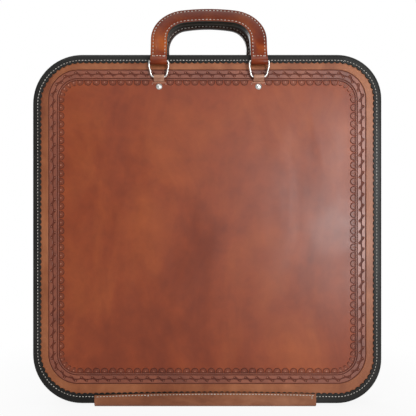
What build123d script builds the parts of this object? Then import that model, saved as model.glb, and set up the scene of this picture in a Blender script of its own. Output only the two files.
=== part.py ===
from build123d import *
import os
from math import asin, atan2, cos, degrees, hypot, sin

# A flat leather case for an apron: two shallow shells, hinged along the bottom by a leather strip and closed
# round the other three sides by a zip. X runs to the right as seen from the front, Y from front to back, and
# Z up. The origin is on the floor, under the middle of the case.
# "Inset" is a distance inwards from the case's outer edge, "depth" a distance out from its middle plane.

# Case outline
case_width = 432.0
case_height = 432.0
case_depth = 42.0
left_corner_radius = 61.0
right_corner_radius = 55.0

# Sheet thicknesses
panel_leather = 3.0
lining_cloth = 1.0
gusset_leather = 1.4
binding_leather = 1.3
strip_leather = 2.4
tab_leather = 1.2
handle_leather = 2.4

# Clearances
moving_gap = 0.3
sewn_gap = 0.2

# Tooled lines on each panel
border_width = 393.7
border_height = 389.3
border_rise = 2.8
border_radius = 37.0
border_band = 10.6
groove_width = 1.2
groove_depth = 0.6

# Binding, folded round the panel's edge and pinked along its outer flap
side_flap = 9.0
top_flap = 9.2
foot_flap = 10.4
flap_bow = 3.6
flap_bow_radius = 5000.0
inner_flap = 8.0
pinking_depth = 1.9
pinking_pitch = 7.05
fold_radius = 3.0
inner_fold_radius = 2.5

# Gusset, the side wall of a shell
gusset_inset = 9.0
gusset_edge_depth = 5.0
gusset_meeting_gap = 0.6
bottom_wall_length = 280.0

# Zip
tape_thickness = 0.9
tape_width = 10.1
coil_slot = 1.6
coil_width = 2.1
coil_height = 3.0
coil_proud = 1.1
zip_mouth = 292.0
stop_length = 3.0
stop_overhang = 0.3

# Zip sliders and pulls
slider_length = 11.0
slider_width = 9.2
slider_outer_plate = 1.7
slider_inner_plate = 1.4
slider_clearance = 0.4
slider_nose_gap = 2.0
post_thickness = 1.0
post_length = 3.0
bridge_width = 2.0
bridge_wall = 1.0
pull_bar = 1.3
pull_length = 26.0
pull_width = 6.4
pull_rail = 1.2
pull_window = 3.2

# Hinge strip
strip_left = -139.0
strip_right = 134.0
strip_mid_height = 17.2
strip_left_height = 13.9
strip_right_height = 15.6
strip_crease = 2.6
strip_to_case = 0.5

# D-rings and the tabs that hold them
ring_spacing = 123.0
handle_offset = 2.0
ring_wire = 2.4
ring_side_gap = 0.4
ring_straight = 6.0
ring_foot_width = 18.0
ring_top_corner = 1.8
ring_side_corner = 6.0
ring_foot_corner = 4.0
bar_drop = 11.1
bar_standoff = 7.4
pivot_drop = 28.6
tab_width = 13.0
tab_slack = 0.5
slit_drop = 32.5
tail_length = 15.2

# Rivets
rivet_drop = 39.5
rivet_head = 8.0
rivet_dome = 2.2
rivet_rim = 0.5
rivet_cap = 1.2
rivet_shank = 3.0

# Handles
strap_width = 20.6
handle_reach = 79.6
arch_corner = 45.0
arch_crown = 2.0
core_thickness = 4.2
loop_length = 5.5
sewn_leg_length = 16.0
full_core_length = 30.0

# Places that follow from the sizes above
face_depth = case_depth / 2
panel_back = face_depth - panel_leather
lining_back = panel_back - lining_cloth
flange_back = panel_back - gusset_leather
binding_front = face_depth + binding_leather
binding_back = flange_back - binding_leather
wall_inset = gusset_inset + gusset_leather
case_bottom = strip_leather + strip_to_case
case_top = case_bottom + case_height
case_middle = case_bottom + case_height / 2
hinge_height = strip_leather / 2

tape_depth = coil_slot / 2 + coil_width
coil_inset = wall_inset - coil_proud

bar_height = case_top - bar_drop
bar_depth = face_depth + bar_standoff
tab_bore = ring_wire / 2 + tab_slack
tab_loop = tab_bore + tab_leather
pivot_height = case_top - pivot_drop
pivot_depth = face_depth + tab_loop
slit_height = case_top - slit_drop
strap_thickness = 2 * tab_leather
tail_back = lining_back - strap_thickness
rivet_height = case_top - rivet_drop
left_ring_x = handle_offset - ring_spacing / 2
right_ring_x = handle_offset + ring_spacing / 2
ring_places = (("left", left_ring_x), ("right", right_ring_x))

ring_length = hypot(bar_depth - pivot_depth, bar_height - pivot_height)
ring_lean = atan2(bar_depth - pivot_depth, bar_height - pivot_height)
ring_half_bar = strap_width / 2 + ring_side_gap + ring_wire / 2

loop_bore = ring_wire / 2 + moving_gap
loop_outer = loop_bore + handle_leather
leg_thickness = 2 * handle_leather
arch_thickness = 2 * handle_leather + core_thickness


def lean_onto(inward, up, standoff):
    """Lean, in radians, of a handle whose middle plane passes `standoff` from a point beside its bar."""
    return atan2(inward, up) - asin(standoff / hypot(inward, up))


# The front handle leans back onto the binding's rolled top edge.
fold_inward = bar_depth - (binding_front - fold_radius)
fold_up = bar_drop - fold_radius
front_lean = lean_onto(fold_inward, fold_up, fold_radius + leg_thickness / 2 + moving_gap)

# The back handle leans forwards onto the top rear corner of the front handle.
corner_depth = bar_depth - handle_reach * sin(front_lean) - arch_thickness / 2 * cos(front_lean)
corner_up = handle_reach * cos(front_lean) - arch_thickness / 2 * sin(front_lean)
back_lean = lean_onto(bar_depth + corner_depth, corner_up, arch_thickness / 2 + moving_gap)

# Each shell: its name, the sign of Y on its side, and the lean of its handle.
shells = (("front", -1, front_lean), ("back", 1, back_lean))

os.makedirs("parts", exist_ok=True)


def save(piece, name):
    piece.part.label = name
    export_step(piece.part, f"parts/{name}.step")


def shell_plane(side, depth):
    """A plane parallel to a shell's face, seen from outside the case, with its origin at the case's middle."""
    return Plane(origin=(0, side * depth, case_middle), x_dir=(-side, 0, 0), z_dir=(0, side, 0))


def section_plane(side, x):
    """A plane across the case at x, with depth along its first axis and height along its second."""
    return Plane(origin=(x, 0, 0), x_dir=(0, side, 0), z_dir=(side, 0, 0))


def outline(side, inset, mode=Mode.ADD):
    """The case's rounded outline, drawn in by an inset. Its right-hand corners are the tighter ones."""
    width = case_width - 2 * inset
    height = case_height - 2 * inset
    RectangleRounded(width, height, left_corner_radius - inset, mode=mode)
    with Locations((-side * width / 4, 0)):
        RectangleRounded(width / 2, height, right_corner_radius - inset, mode=mode)


def border_line(inset):
    """One tooled line that follows the panel's edge."""
    with Locations((0, border_rise)):
        for edge, mode in ((inset, Mode.ADD), (inset + groove_width, Mode.SUBTRACT)):
            width = border_width - 2 * edge
            height = border_height - 2 * edge
            RectangleRounded(width, height, border_radius - edge, mode=mode)


def pinked_edge(edge_line):
    """A row of round lobes along a line, as pinking shears leave them."""
    count = round(edge_line.length / pinking_pitch)
    for number in range(count):
        start = edge_line @ (number / count)
        end = edge_line @ ((number + 1) / count)
        middle = edge_line @ ((number + 0.5) / count)
        across = (end - start).cross(Vector(0, 0, 1)).normalized()
        inwards = across if across.dot(middle) < 0 else -across
        ThreePointArc(start, middle + inwards * pinking_depth, end)


def tab_openings(side, mode=Mode.ADD):
    """The slits for the tabs and the holes for the rivets, through a sheet of one shell."""
    for _, x in ring_places:
        with Locations((-side * x, slit_height - case_middle)):
            Rectangle(tab_width + 2 * sewn_gap, strap_thickness + 2 * sewn_gap, mode=mode)
        with Locations((-side * x, rivet_height - case_middle)):
            Circle(rivet_shank / 2 + sewn_gap, mode=mode)


def edges_at(piece, side, depth):
    """The edges of a piece that lie at one depth."""
    return ShapeList(e for e in piece.edges() if abs(side * e.center().Y - depth) < 0.01)


# Panels and linings
for shell, side, _ in shells:
    with BuildPart() as panel:
        with BuildSketch(shell_plane(side, panel_back)):
            outline(side, binding_leather)
        extrude(amount=panel_leather)
        fillet(edges_at(panel, side, face_depth), fold_radius - binding_leather)
        with BuildSketch(shell_plane(side, face_depth)):
            border_line(0)
            border_line(border_band)
        extrude(amount=-groove_depth, mode=Mode.SUBTRACT)
        with BuildSketch(shell_plane(side, panel_back)):
            tab_openings(side)
        extrude(amount=panel_leather, mode=Mode.SUBTRACT)
    save(panel, f"{shell}_panel")

    with BuildPart() as lining:
        with BuildSketch(shell_plane(side, lining_back)):
            outline(side, wall_inset)
            tab_openings(side, Mode.SUBTRACT)
        extrude(amount=lining_cloth)
    save(lining, f"{shell}_lining")

# Gussets: a side wall with a flange that is sewn under the panel's edge
for shell, side, _ in shells:
    with BuildPart() as gusset:
        with BuildSketch(shell_plane(side, flange_back)):
            outline(side, binding_leather)
        extrude(amount=gusset_leather)
        fillet(edges_at(gusset, side, flange_back), inner_fold_radius - binding_leather)
        with BuildSketch(shell_plane(side, gusset_edge_depth)):
            outline(side, gusset_inset)
        extrude(amount=flange_back - gusset_edge_depth)
        with BuildSketch(shell_plane(side, gusset_meeting_gap / 2)):
            with Locations((0, gusset_inset + gusset_leather / 2 - case_height / 2)):
                Rectangle(bottom_wall_length, gusset_leather)
        extrude(amount=gusset_edge_depth - gusset_meeting_gap / 2)
        with BuildSketch(shell_plane(side, 0)):
            outline(side, wall_inset)
        extrude(amount=face_depth, mode=Mode.SUBTRACT)
    save(gusset, f"{shell}_gusset")

# Bindings, folded round the edges of the panel and the gusset's flange
flap_half = case_width / 2 - side_flap
flap_top = case_height / 2 - top_flap
flap_foot = foot_flap - case_height / 2

for shell, side, _ in shells:
    with BuildPart() as sewn_edge:
        with BuildSketch(shell_plane(side, flange_back)):
            outline(side, binding_leather)
        extrude(amount=face_depth - flange_back)
        fillet(edges_at(sewn_edge, side, face_depth), fold_radius - binding_leather)
        fillet(edges_at(sewn_edge, side, flange_back), inner_fold_radius - binding_leather)

    with BuildPart() as binding:
        with BuildSketch(shell_plane(side, binding_back)):
            outline(side, 0)
        extrude(amount=binding_front - binding_back)
        fillet(edges_at(binding, side, binding_front), fold_radius)
        fillet(edges_at(binding, side, binding_back), inner_fold_radius)
        add(sewn_edge.part, mode=Mode.SUBTRACT)
        left, right = side * flap_half, -side * flap_half
        with BuildLine(mode=Mode.PRIVATE) as flap_line:
            FilletPolyline(
                (0, flap_foot + flap_bow),
                (left, flap_foot),
                (left, flap_top),
                (right, flap_top),
                (right, flap_foot),
                radius=[
                    flap_bow_radius,
                    left_corner_radius - side_flap,
                    left_corner_radius - side_flap,
                    right_corner_radius - side_flap,
                    right_corner_radius - side_flap,
                ],
                close=True,
            )
        with BuildSketch(shell_plane(side, face_depth)):
            with BuildLine():
                pinked_edge(flap_line.wire())
            make_face()
        extrude(amount=binding_leather, mode=Mode.SUBTRACT)
        with BuildSketch(shell_plane(side, binding_back)):
            outline(side, inner_flap)
        extrude(amount=binding_leather, mode=Mode.SUBTRACT)
    save(binding, f"{shell}_binding")

# Zip: in each shell a tape, half of the coil and a stop at each end
for shell, side, _ in shells:
    with BuildPart() as tape:
        with BuildSketch(shell_plane(side, tape_depth)):
            outline(side, wall_inset)
            outline(side, wall_inset + tape_thickness, mode=Mode.SUBTRACT)
            with Locations((0, -case_height / 2)):
                Rectangle(zip_mouth, case_height / 2, mode=Mode.SUBTRACT)
        extrude(amount=tape_width)
    save(tape, f"{shell}_zip_tape")

    with BuildPart() as coil:
        with BuildSketch(shell_plane(side, coil_slot / 2)):
            outline(side, coil_inset)
            outline(side, coil_inset + coil_height, mode=Mode.SUBTRACT)
            with Locations((0, -case_height / 2)):
                Rectangle(zip_mouth, case_height / 2, mode=Mode.SUBTRACT)
        extrude(amount=coil_width)
    save(coil, f"{shell}_zip_coil")

    with BuildPart() as stops:
        stop_height = coil_height + 2 * stop_overhang
        stop_place = (zip_mouth - stop_length) / 2, coil_inset + coil_height / 2 - case_height / 2
        with BuildSketch(shell_plane(side, coil_slot / 2)):
            with Locations(stop_place, (-stop_place[0], stop_place[1])):
                Rectangle(stop_length, stop_height)
        extrude(amount=coil_width + stop_overhang)
    save(stops, f"{shell}_zip_stops")

# Tabs: a strap doubled round the D-ring's foot, through the slit and down behind the lining
for shell, side, _ in shells:
    for hand, x in ring_places:
        slit_top = slit_height + strap_thickness / 2
        slit_foot = slit_height - strap_thickness / 2
        tail_foot = slit_top - tail_length
        with BuildPart() as tab:
            with BuildSketch(section_plane(side, x)):
                with Locations((pivot_depth, pivot_height)):
                    Circle(tab_loop)
                Polygon(
                    (face_depth, pivot_height),
                    (face_depth, slit_foot),
                    (face_depth + tab_leather, slit_foot),
                    (pivot_depth + tab_loop, pivot_height),
                    align=None,
                )
                Polygon(
                    (tail_back, slit_top),
                    (face_depth, slit_top),
                    (face_depth, slit_foot),
                    (lining_back, slit_foot),
                    (lining_back, tail_foot),
                    (tail_back, tail_foot),
                    align=None,
                )
                with Locations((pivot_depth, pivot_height)):
                    Circle(tab_bore, mode=Mode.SUBTRACT)
            extrude(amount=tab_width / 2, both=True)
            with BuildSketch(shell_plane(side, 0)):
                with Locations((-side * x, rivet_height - case_middle)):
                    Circle(rivet_shank / 2 + sewn_gap)
            extrude(amount=lining_back, mode=Mode.SUBTRACT)
        save(tab, f"{shell}_{hand}_tab")

# Rivets, each with a domed head outside and a low cap on the tab's tail
for shell, side, _ in shells:
    with BuildPart() as rivets:
        for _, x in ring_places:
            centre = Vector(x, 0, rivet_height)
            with BuildSketch(Plane(origin=centre, x_dir=(1, 0, 0), z_dir=(0, 0, side))):
                with BuildLine():
                    rim = face_depth + rivet_rim
                    top = face_depth + rivet_dome
                    cap = tail_back - rivet_cap
                    Line((0, cap), (0, top))
                    TangentArc((0, top), (rivet_head / 2, rim), tangent=(1, 0))
                    Polyline(
                        (rivet_head / 2, rim),
                        (rivet_head / 2, face_depth),
                        (rivet_shank / 2, face_depth),
                        (rivet_shank / 2, tail_back),
                        (rivet_head / 2, tail_back),
                        (rivet_head / 4, cap),
                        (0, cap),
                    )
                make_face()
            revolve(axis=Axis(centre, (0, 1, 0)))
    save(rivets, f"{shell}_rivets")

# D-rings, leaning out from the panel with their straight bars at the top
for shell, side, _ in shells:
    for hand, x in ring_places:
        up = Vector(0, side * sin(ring_lean), cos(ring_lean))
        ring_plane = Plane(
            origin=(x, side * bar_depth, bar_height), x_dir=(1, 0, 0), z_dir=Vector(1, 0, 0).cross(up)
        )
        with BuildPart() as ring:
            with BuildLine(ring_plane) as wire_path:
                FilletPolyline(
                    (0, 0),
                    (ring_half_bar, 0),
                    (ring_half_bar, -ring_straight),
                    (ring_foot_width / 2, -ring_length),
                    (-ring_foot_width / 2, -ring_length),
                    (-ring_half_bar, -ring_straight),
                    (-ring_half_bar, 0),
                    radius=[
                        0,
                        ring_top_corner,
                        ring_side_corner,
                        ring_foot_corner,
                        ring_foot_corner,
                        ring_side_corner,
                        ring_top_corner,
                    ],
                    close=True,
                )
            wire = wire_path.wire()
            with BuildSketch(Plane(origin=wire @ 0, z_dir=wire % 0)):
                Circle(ring_wire / 2)
            sweep(path=wire)
        save(ring, f"{shell}_{hand}_ring")

# Handles: a face leather that loops round the D-rings' bars, a core and a back leather
arch_corner_x = ring_spacing / 2 + strap_width / 2 - arch_corner
arch_corner_up = handle_reach - arch_crown - arch_corner
arch_top = arch_corner + (arch_corner_x**2 + arch_crown**2) / (2 * arch_crown)
arch_turn = degrees(atan2(arch_top - arch_corner - arch_crown, arch_corner_x))


def arch_edge(inset):
    """One long edge of the handle, an inset in from its outer edge, from leg foot to leg foot."""
    half = arch_corner_x + arch_corner - inset
    foot = -2 * loop_outer
    Line((half, foot), (half, arch_corner_up))
    CenterArc((arch_corner_x, arch_corner_up), arch_corner - inset, 0, arch_turn)
    CenterArc((0, handle_reach - arch_top), arch_top - inset, arch_turn, 180 - 2 * arch_turn)
    CenterArc((-arch_corner_x, arch_corner_up), arch_corner - inset, 180 - arch_turn, arch_turn)
    Line((-half, arch_corner_up), (-half, foot))
    return half, foot


face_profile = (
    (0, loop_outer),
    (loop_length, handle_leather),
    (sewn_leg_length, handle_leather),
    (full_core_length, arch_thickness / 2),
    (handle_reach + 1, arch_thickness / 2),
    (handle_reach + 1, core_thickness / 2),
    (full_core_length, core_thickness / 2),
    (sewn_leg_length, 0),
    (sewn_leg_length, -handle_leather),
    (loop_length, -handle_leather),
    (0, -loop_outer),
)
core_profile = (
    (sewn_leg_length, 0),
    (full_core_length, core_thickness / 2),
    (handle_reach + 1, core_thickness / 2),
    (handle_reach + 1, -core_thickness / 2),
    (full_core_length, -core_thickness / 2),
)
back_profile = (
    (sewn_leg_length, 0),
    (full_core_length, -core_thickness / 2),
    (handle_reach + 1, -core_thickness / 2),
    (handle_reach + 1, -arch_thickness / 2),
    (full_core_length, -arch_thickness / 2),
    (sewn_leg_length, -handle_leather),
)

for shell, side, lean in shells:
    bar_middle = Vector(handle_offset, side * bar_depth, bar_height)
    along = Vector(0, -side * sin(lean), cos(lean))
    out = Vector(0, side * cos(lean), sin(lean))
    arch_plane = Plane(origin=bar_middle, x_dir=(-side, 0, 0), z_dir=out)
    profile_plane = Plane(origin=bar_middle, x_dir=along, z_dir=(-side, 0, 0))
    for layer, profile in (("face", face_profile), ("core", core_profile), ("back", back_profile)):
        with BuildPart() as handle_layer:
            with BuildSketch(profile_plane):
                Polygon(*profile, align=None)
                if layer == "face":
                    Circle(loop_outer)
                    Circle(loop_bore, mode=Mode.SUBTRACT)
            extrude(amount=ring_spacing, both=True)
            with BuildSketch(arch_plane):
                with BuildLine():
                    outer_half, foot = arch_edge(0)
                    inner_half, foot = arch_edge(strap_width)
                    Line((outer_half, foot), (inner_half, foot))
                    Line((-outer_half, foot), (-inner_half, foot))
                make_face()
            extrude(amount=arch_thickness, both=True, mode=Mode.INTERSECT)
        save(handle_layer, f"{shell}_handle_{layer}")

# Hinge strip, creased round the bottom of both bindings
with BuildPart() as hinge_strip:
    with BuildSketch(Plane.YZ.offset(strip_left)):
        front_leg = binding_front + moving_gap
        back_leg = binding_front
        with Locations(((back_leg - front_leg) / 2, 0)):
            sheet_width = front_leg + back_leg
            with BuildSketch(mode=Mode.PRIVATE) as creased:
                Rectangle(sheet_width + 2 * strip_leather, strip_mid_height, align=(Align.CENTER, Align.MIN))
                chamfer(creased.vertices().group_by(Axis.Y)[0], strip_crease)
            add(creased.sketch)
            with Locations((0, strip_leather)):
                Rectangle(sheet_width, strip_mid_height, align=(Align.CENTER, Align.MIN), mode=Mode.SUBTRACT)
    extrude(amount=strip_right - strip_left)
    with BuildSketch(Plane.XZ):
        with BuildLine():
            strip_middle = (strip_left + strip_right) / 2
            left_end = strip_left, strip_left_height
            right_end = strip_right, strip_right_height
            Polyline(left_end, (strip_left, 0), (strip_right, 0), right_end)
            ThreePointArc(right_end, (strip_middle, strip_mid_height), left_end)
        make_face()
    extrude(amount=case_depth, both=True, mode=Mode.INTERSECT)
save(hinge_strip, "hinge_strip")

# Zip sliders, nose to nose at the middle of the top, each with a pull that lies along the zip
coil_top = case_top - coil_inset
coil_foot = coil_top - coil_height
plate_foot = coil_top + slider_clearance
plate_top = plate_foot + slider_outer_plate
pull_axis_height = plate_top + pull_bar
bridge_radius = pull_bar / 2 + moving_gap + bridge_wall
slider_middle = slider_nose_gap / 2 + slider_length / 2

for hand, sign in (("left", -1), ("right", 1)):
    x = sign * slider_middle
    with BuildPart() as slider:
        with BuildSketch(Plane.XY.offset(plate_foot)):
            with Locations((x, 0)):
                RectangleRounded(slider_length, slider_width, slider_width / 4)
        extrude(amount=slider_outer_plate)
        with BuildSketch(Plane.XY.offset(coil_foot - slider_clearance)):
            with Locations((x, 0)):
                RectangleRounded(slider_length, slider_width, slider_width / 4)
        extrude(amount=-slider_inner_plate)
        with BuildSketch(Plane.XY.offset(coil_foot - slider_clearance)):
            with Locations((sign * (slider_nose_gap / 2 + post_length), 0)):
                Rectangle(post_length, post_thickness)
        extrude(amount=coil_height + 2 * slider_clearance)
        with BuildSketch(Plane.XZ):
            with Locations((x, pull_axis_height)):
                Circle(bridge_radius)
                Rectangle(2 * bridge_radius, pull_axis_height - plate_top, align=(Align.CENTER, Align.MAX))
                Circle(pull_bar / 2 + moving_gap, mode=Mode.SUBTRACT)
        extrude(amount=bridge_width / 2, both=True)
    save(slider, f"{hand}_slider")

    with BuildPart() as pull:
        with BuildSketch(Plane.XY.offset(pull_axis_height - pull_bar / 2)):
            with Locations((x + sign * pull_length / 2, 0)):
                RectangleRounded(pull_length, pull_width, pull_width / 4)
            with Locations((x, 0)):
                Rectangle(pull_width, pull_width, mode=Mode.SUBTRACT)
            with Locations((x + sign * pull_window / 2, 0)):
                Rectangle(pull_window, pull_width)
                Rectangle(pull_window, pull_width - 2 * pull_rail, mode=Mode.SUBTRACT)
        extrude(amount=pull_bar)
        with BuildSketch(Plane.XZ):
            with Locations((x, pull_axis_height)):
                Circle(pull_bar / 2)
        extrude(amount=pull_width / 2, both=True)
    save(pull, f"{hand}_pull")

print("front handle leans", round(degrees(front_lean), 2), "back handle leans", round(degrees(back_lean), 2))
print("case top", case_top, "ring length", round(ring_length, 2))
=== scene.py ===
import bpy
from math import atan2, cos, hypot, pi, radians, sin
from mathutils import Matrix, Vector


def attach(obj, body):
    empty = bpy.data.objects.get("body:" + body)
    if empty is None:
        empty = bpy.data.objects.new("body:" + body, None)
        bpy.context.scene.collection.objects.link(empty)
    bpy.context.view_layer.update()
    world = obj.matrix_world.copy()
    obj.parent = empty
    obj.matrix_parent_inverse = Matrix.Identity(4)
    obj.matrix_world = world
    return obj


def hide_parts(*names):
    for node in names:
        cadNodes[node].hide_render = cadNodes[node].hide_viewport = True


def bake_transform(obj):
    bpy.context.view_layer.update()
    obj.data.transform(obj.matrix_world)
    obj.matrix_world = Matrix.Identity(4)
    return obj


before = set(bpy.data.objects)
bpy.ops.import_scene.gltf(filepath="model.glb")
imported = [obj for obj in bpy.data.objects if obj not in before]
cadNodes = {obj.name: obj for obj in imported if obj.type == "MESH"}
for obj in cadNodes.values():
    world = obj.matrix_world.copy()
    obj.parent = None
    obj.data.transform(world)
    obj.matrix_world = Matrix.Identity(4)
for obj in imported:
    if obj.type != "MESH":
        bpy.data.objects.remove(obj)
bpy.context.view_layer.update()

mm = 0.001
shells = (("front", -1), ("back", 1))  # name and the sign of y on its side

# the case's outline and the tooled line on each panel, in mm from the middle of the face
# radii go clockwise from the top right, seen from the front
caseSquare = {"width": 432.0, "height": 432.0, "radii": (55.0, 55.0, 61.0, 61.0), "rise": 0.0}
borderSquare = {"width": 393.7, "height": 389.3, "radii": (37.0, 37.0, 37.0, 37.0), "rise": 2.8}
caseMiddle = 218.9  # height of the middle of the face
footLine = -150.0  # below this the edge runs along the foot
ringPlaces = {"left": -59.5, "right": 63.5}
turnedOver = Matrix.Rotation(pi, 4, "X")

print("frame loaded:", len(cadNodes), "nodes")


# selecting, shaping and joining

meshing = {"weld": 0.000002, "flatAngle": 0.5, "levelNormal": 0.9995}


def setMode(mode):
    bpy.ops.object.mode_set(mode=mode)


def pick(*pieces):
    if bpy.context.object and bpy.context.object.mode != "OBJECT":
        setMode("OBJECT")
    bpy.ops.object.select_all(action="DESELECT")
    for piece in pieces:
        piece.select_set(True)
    if pieces:
        bpy.context.view_layer.objects.active = pieces[0]


def addObject(name, data):
    made = bpy.data.objects.new(name, data)
    bpy.context.collection.objects.link(made)
    return made


def applyModifiers(piece):
    pick(piece)
    for modifier in list(piece.modifiers):
        bpy.ops.object.modifier_apply(modifier=modifier.name)


def joinAs(name, pieces):
    pick(*pieces)
    if len(pieces) > 1:
        bpy.ops.object.join()
    joined = bpy.context.object
    joined.name = name
    joined.data.name = name
    return joined


def editAll(piece):
    pick(piece)
    setMode("EDIT")
    bpy.ops.mesh.select_all(action="SELECT")


def selectFaces(piece, wanted=lambda face: True):
    pick(piece)
    setMode("EDIT")
    bpy.ops.mesh.select_mode(type="FACE")
    bpy.ops.mesh.select_all(action="DESELECT")
    setMode("OBJECT")
    for face in piece.data.polygons:
        face.select = wanted(face)
    setMode("EDIT")


def pushOut(x, y, z):
    bpy.ops.mesh.extrude_region_move(TRANSFORM_OT_translate={"value": (x * mm, y * mm, z * mm)})


def resize(*shares):
    bpy.ops.transform.resize(value=shares)


def shift(x, y, z):
    return Matrix.Translation((x * mm, y * mm, z * mm))


def addBlock(place, size):
    bpy.ops.mesh.primitive_cube_add(size=1, location=[part * mm for part in place])
    block = bpy.context.object
    block.scale = [part * mm for part in size]
    pick(block)
    bpy.ops.object.transform_apply(location=True, rotation=False, scale=True)
    return block


def closeUp(piece):
    editAll(piece)
    bpy.ops.mesh.remove_doubles(threshold=meshing["weld"])
    bpy.ops.mesh.normals_make_consistent(inside=False)
    setMode("OBJECT")


def softenEdges(piece, width, steps=2, angle=35):
    bevel = piece.modifiers.new("softEdges", "BEVEL")
    bevel.width = width * mm
    bevel.segments = steps
    bevel.limit_method = "ANGLE"
    bevel.angle_limit = radians(angle)
    applyModifiers(piece)


def smooth(piece, angle):
    pick(piece)
    bpy.ops.object.shade_smooth_by_angle(angle=radians(angle))


def flattenTops(piece):
    # the level faces keep their own normal, so the rounded rims don't shade across them
    for face in piece.data.polygons:
        if abs(face.normal.y) > meshing["levelNormal"]:
            face.use_smooth = False


def paint(piece, *names):
    piece.data.materials.clear()
    for name in names:
        piece.data.materials.append(looks[name])


def mount(piece, body, slotName=None, *nodes):
    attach(piece, body)
    if nodes:
        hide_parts(*nodes)


# places on the face and on the side wall of a shell

def faceMatrix(side):
    return Matrix(((-side, 0, 0, 0), (0, 0, side, 0), (0, 1, 0, caseMiddle * mm), (0, 0, 0, 1)))


def edgeParts(square, inset, side):
    # straights and bends, clockwise from the top middle, as seen from outside the shell
    wide = square["width"] / 2 - inset
    tall = square["height"] / 2 - inset
    radii = [radius - inset for radius in square["radii"]]
    if side > 0:
        radii.reverse()
    signs = ((1, 1), (1, -1), (-1, -1), (-1, 1))
    centres = [(across * (wide - radius), up * (tall - radius)) for (across, up), radius in zip(signs, radii)]
    bends = [radius * pi / 2 for radius in radii]
    runs = [
        wide - radii[0], bends[0], 2 * tall - radii[0] - radii[1], bends[1],
        2 * wide - radii[1] - radii[2], bends[2], 2 * tall - radii[2] - radii[3], bends[3], wide - radii[3],
    ]
    return tall, radii, centres, runs


def edgeSpot(square, inset, distance, side):
    tall, radii, centres, runs = edgeParts(square, inset, side)
    distance %= sum(runs)
    number = 0
    while number < 8 and distance > runs[number]:
        distance -= runs[number]
        number += 1
    turn = number // 2
    normal = pi / 2 * (1 - turn)
    if number % 2:
        normal -= distance / radii[turn]
        (x, z), radius, along = centres[turn], radii[turn], 0
    elif turn:
        (x, z), radius, along = centres[turn - 1], radii[turn - 1], distance
    else:
        (x, z), radius, along = (0, 0), tall, distance
    x += radius * cos(normal) + along * sin(normal)
    z += radius * sin(normal) - along * cos(normal)
    return x, z + square["rise"], normal


def edgeLength(square, inset):
    return sum(edgeParts(square, inset, -1)[3])


def evenSpots(square, inset, side, pitch, count=0):
    # spots along an edge, about a pitch apart or as many as asked for
    total = edgeLength(square, inset)
    count = count or round(total / pitch)
    return [edgeSpot(square, inset, (number + 0.5) * total / count, side) for number in range(count)]


def onFace(side, x, z, normal, depth):
    return faceMatrix(side) @ shift(x, z, depth) @ Matrix.Rotation(normal - pi / 2, 4, "Z")


def onWall(side, x, z, normal, depth):
    # the item's x runs along the edge and its z points out of the wall
    return onFace(side, x, z, normal, depth) @ Matrix.Rotation(-pi / 2, 4, "X")


def roundLoop(square, inset, side, cornerSteps=16):
    radii, centres = edgeParts(square, inset, side)[1:3]
    loop = []
    for turn, ((x, z), radius) in enumerate(zip(centres, radii)):
        for step in range(cornerSteps + 1):
            angle = pi / 2 * (1 - turn - step / cornerSteps)
            loop.append((x + radius * cos(angle), z + radius * sin(angle) + square["rise"]))
    return loop


def boxLoop(x, half, first, last):
    return [(x - half, first), (x + half, first), (x + half, last), (x - half, last)]


def circleLoop(x, z, radius, count):
    turns = [2 * pi * number / count for number in range(count)]
    return [(x + radius * cos(turn), z + radius * sin(turn)) for turn in turns]


def flatSheet(look, loops, low, high, rim, rounding=2, drawnIn=True):
    # a filled flat curve with a rounded rim, made a mesh before it is placed
    # the loops give its outer size, or its level top if it isn't drawn in
    curve = bpy.data.curves.new("sheet", "CURVE")
    curve.dimensions = "2D"
    curve.fill_mode = "BOTH"
    for loop in loops:
        spline = curve.splines.new("POLY")
        spline.points.add(len(loop) - 1)
        for point, (x, z) in zip(spline.points, loop):
            point.co = (x * mm, z * mm, 0, 1)
        spline.use_cyclic_u = True
    curve.extrude = ((high - low) / 2 - rim) * mm
    curve.bevel_depth = rim * mm
    curve.bevel_resolution = rounding - 1
    curve.offset = -rim * mm if drawnIn else 0
    pick(addObject("sheet", curve))
    bpy.ops.object.convert(target="MESH")
    sheet = bpy.context.object
    sheet.data.transform(shift(0, 0, (low + high) / 2))
    closeUp(sheet)
    paint(sheet, look)
    return sheet


def bandSheet(look, lines, low, high, rim, closed=True):
    # a level band between two lines with as many points each, thickened and its rims rounded
    columns = len(lines[0]) + int(closed)
    bpy.ops.mesh.primitive_grid_add(x_subdivisions=columns - 1, y_subdivisions=1, size=1)
    band = bpy.context.object
    for number, vertex in enumerate(band.data.vertices):
        line = lines[number // columns]
        x, z = line[number % columns % len(line)]
        vertex.co = (x * mm, z * mm, high * mm)
    closeUp(band)
    selectFaces(band)
    pushOut(0, 0, low - high)
    setMode("OBJECT")
    closeUp(band)
    softenEdges(band, rim)
    paint(band, look)
    return band


def strew(name, item, places):
    copies = []
    for place in places:
        twin = addObject(name, item.data.copy())
        twin.data.transform(place)
        copies.append(twin)
    return joinAs(name, copies)


def discard(*pieces):
    for piece in pieces:
        bpy.data.objects.remove(piece)


def nodeCopy(node, name, bevel, steps=2, angle=38):
    piece = addObject(name, cadNodes[node].data.copy())
    piece.data.name = name
    closeUp(piece)
    editAll(piece)
    bpy.ops.mesh.dissolve_limited(angle_limit=radians(meshing["flatAngle"]))
    setMode("OBJECT")
    if bevel:
        softenEdges(piece, bevel, steps)
    smooth(piece, angle)
    flattenTops(piece)
    return piece


def dressNode(node, name, look, body, slotName, bevel, steps=2, angle=38):
    piece = nodeCopy(node, name, bevel, steps, angle)
    paint(piece, look)
    mount(piece, body, slotName, node)


# finishes

looks = {}


def startLook(name):
    looks[name] = bpy.data.materials.new(name)
    looks[name].use_nodes = True
    tree = looks[name].node_tree
    return tree, tree.nodes["Principled BSDF"]


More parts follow.
